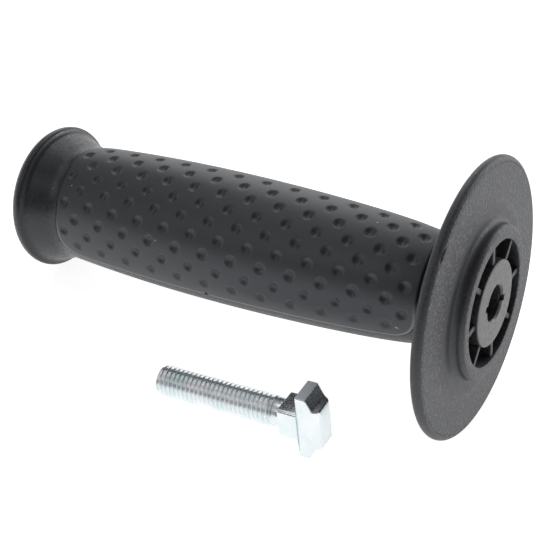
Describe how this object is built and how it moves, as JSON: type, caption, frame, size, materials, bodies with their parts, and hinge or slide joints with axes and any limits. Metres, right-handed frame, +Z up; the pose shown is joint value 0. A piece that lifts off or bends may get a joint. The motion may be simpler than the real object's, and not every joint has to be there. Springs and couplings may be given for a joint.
{
  "type": "power tool side handle",
  "caption": "Side handle of a drill: flared grip with dimpled soft pads, round flange, ribbed hub with a captive nut, and a loose T-head bolt lying beside it.",
  "frame": {"origin": "centre of the bounding box's base, on the surface that the handle and its loose bolt lie on", "axes": "+Z up; +X level, along the handle from its end knob towards its hub; the loose bolt lies on the -Y side"},
  "size_m": [0.1352, 0.0732, 0.0685],
  "materials": {
    "body_plastic": "fine spark-eroded grain, dark grey",
    "pad_rubber": "soft-touch, near black",
    "zinc_bright": "bright zinc plating",
    "zinc_dull": "dull zinc plating"
  },
  "bodies": {
    "root": {"handle_body": "body_plastic", "grip_pad_front": "pad_rubber", "grip_pad_rear": "pad_rubber", "captive_nut": "zinc_dull", "t_bolt": "zinc_bright"}
  },
  "joints": []
}
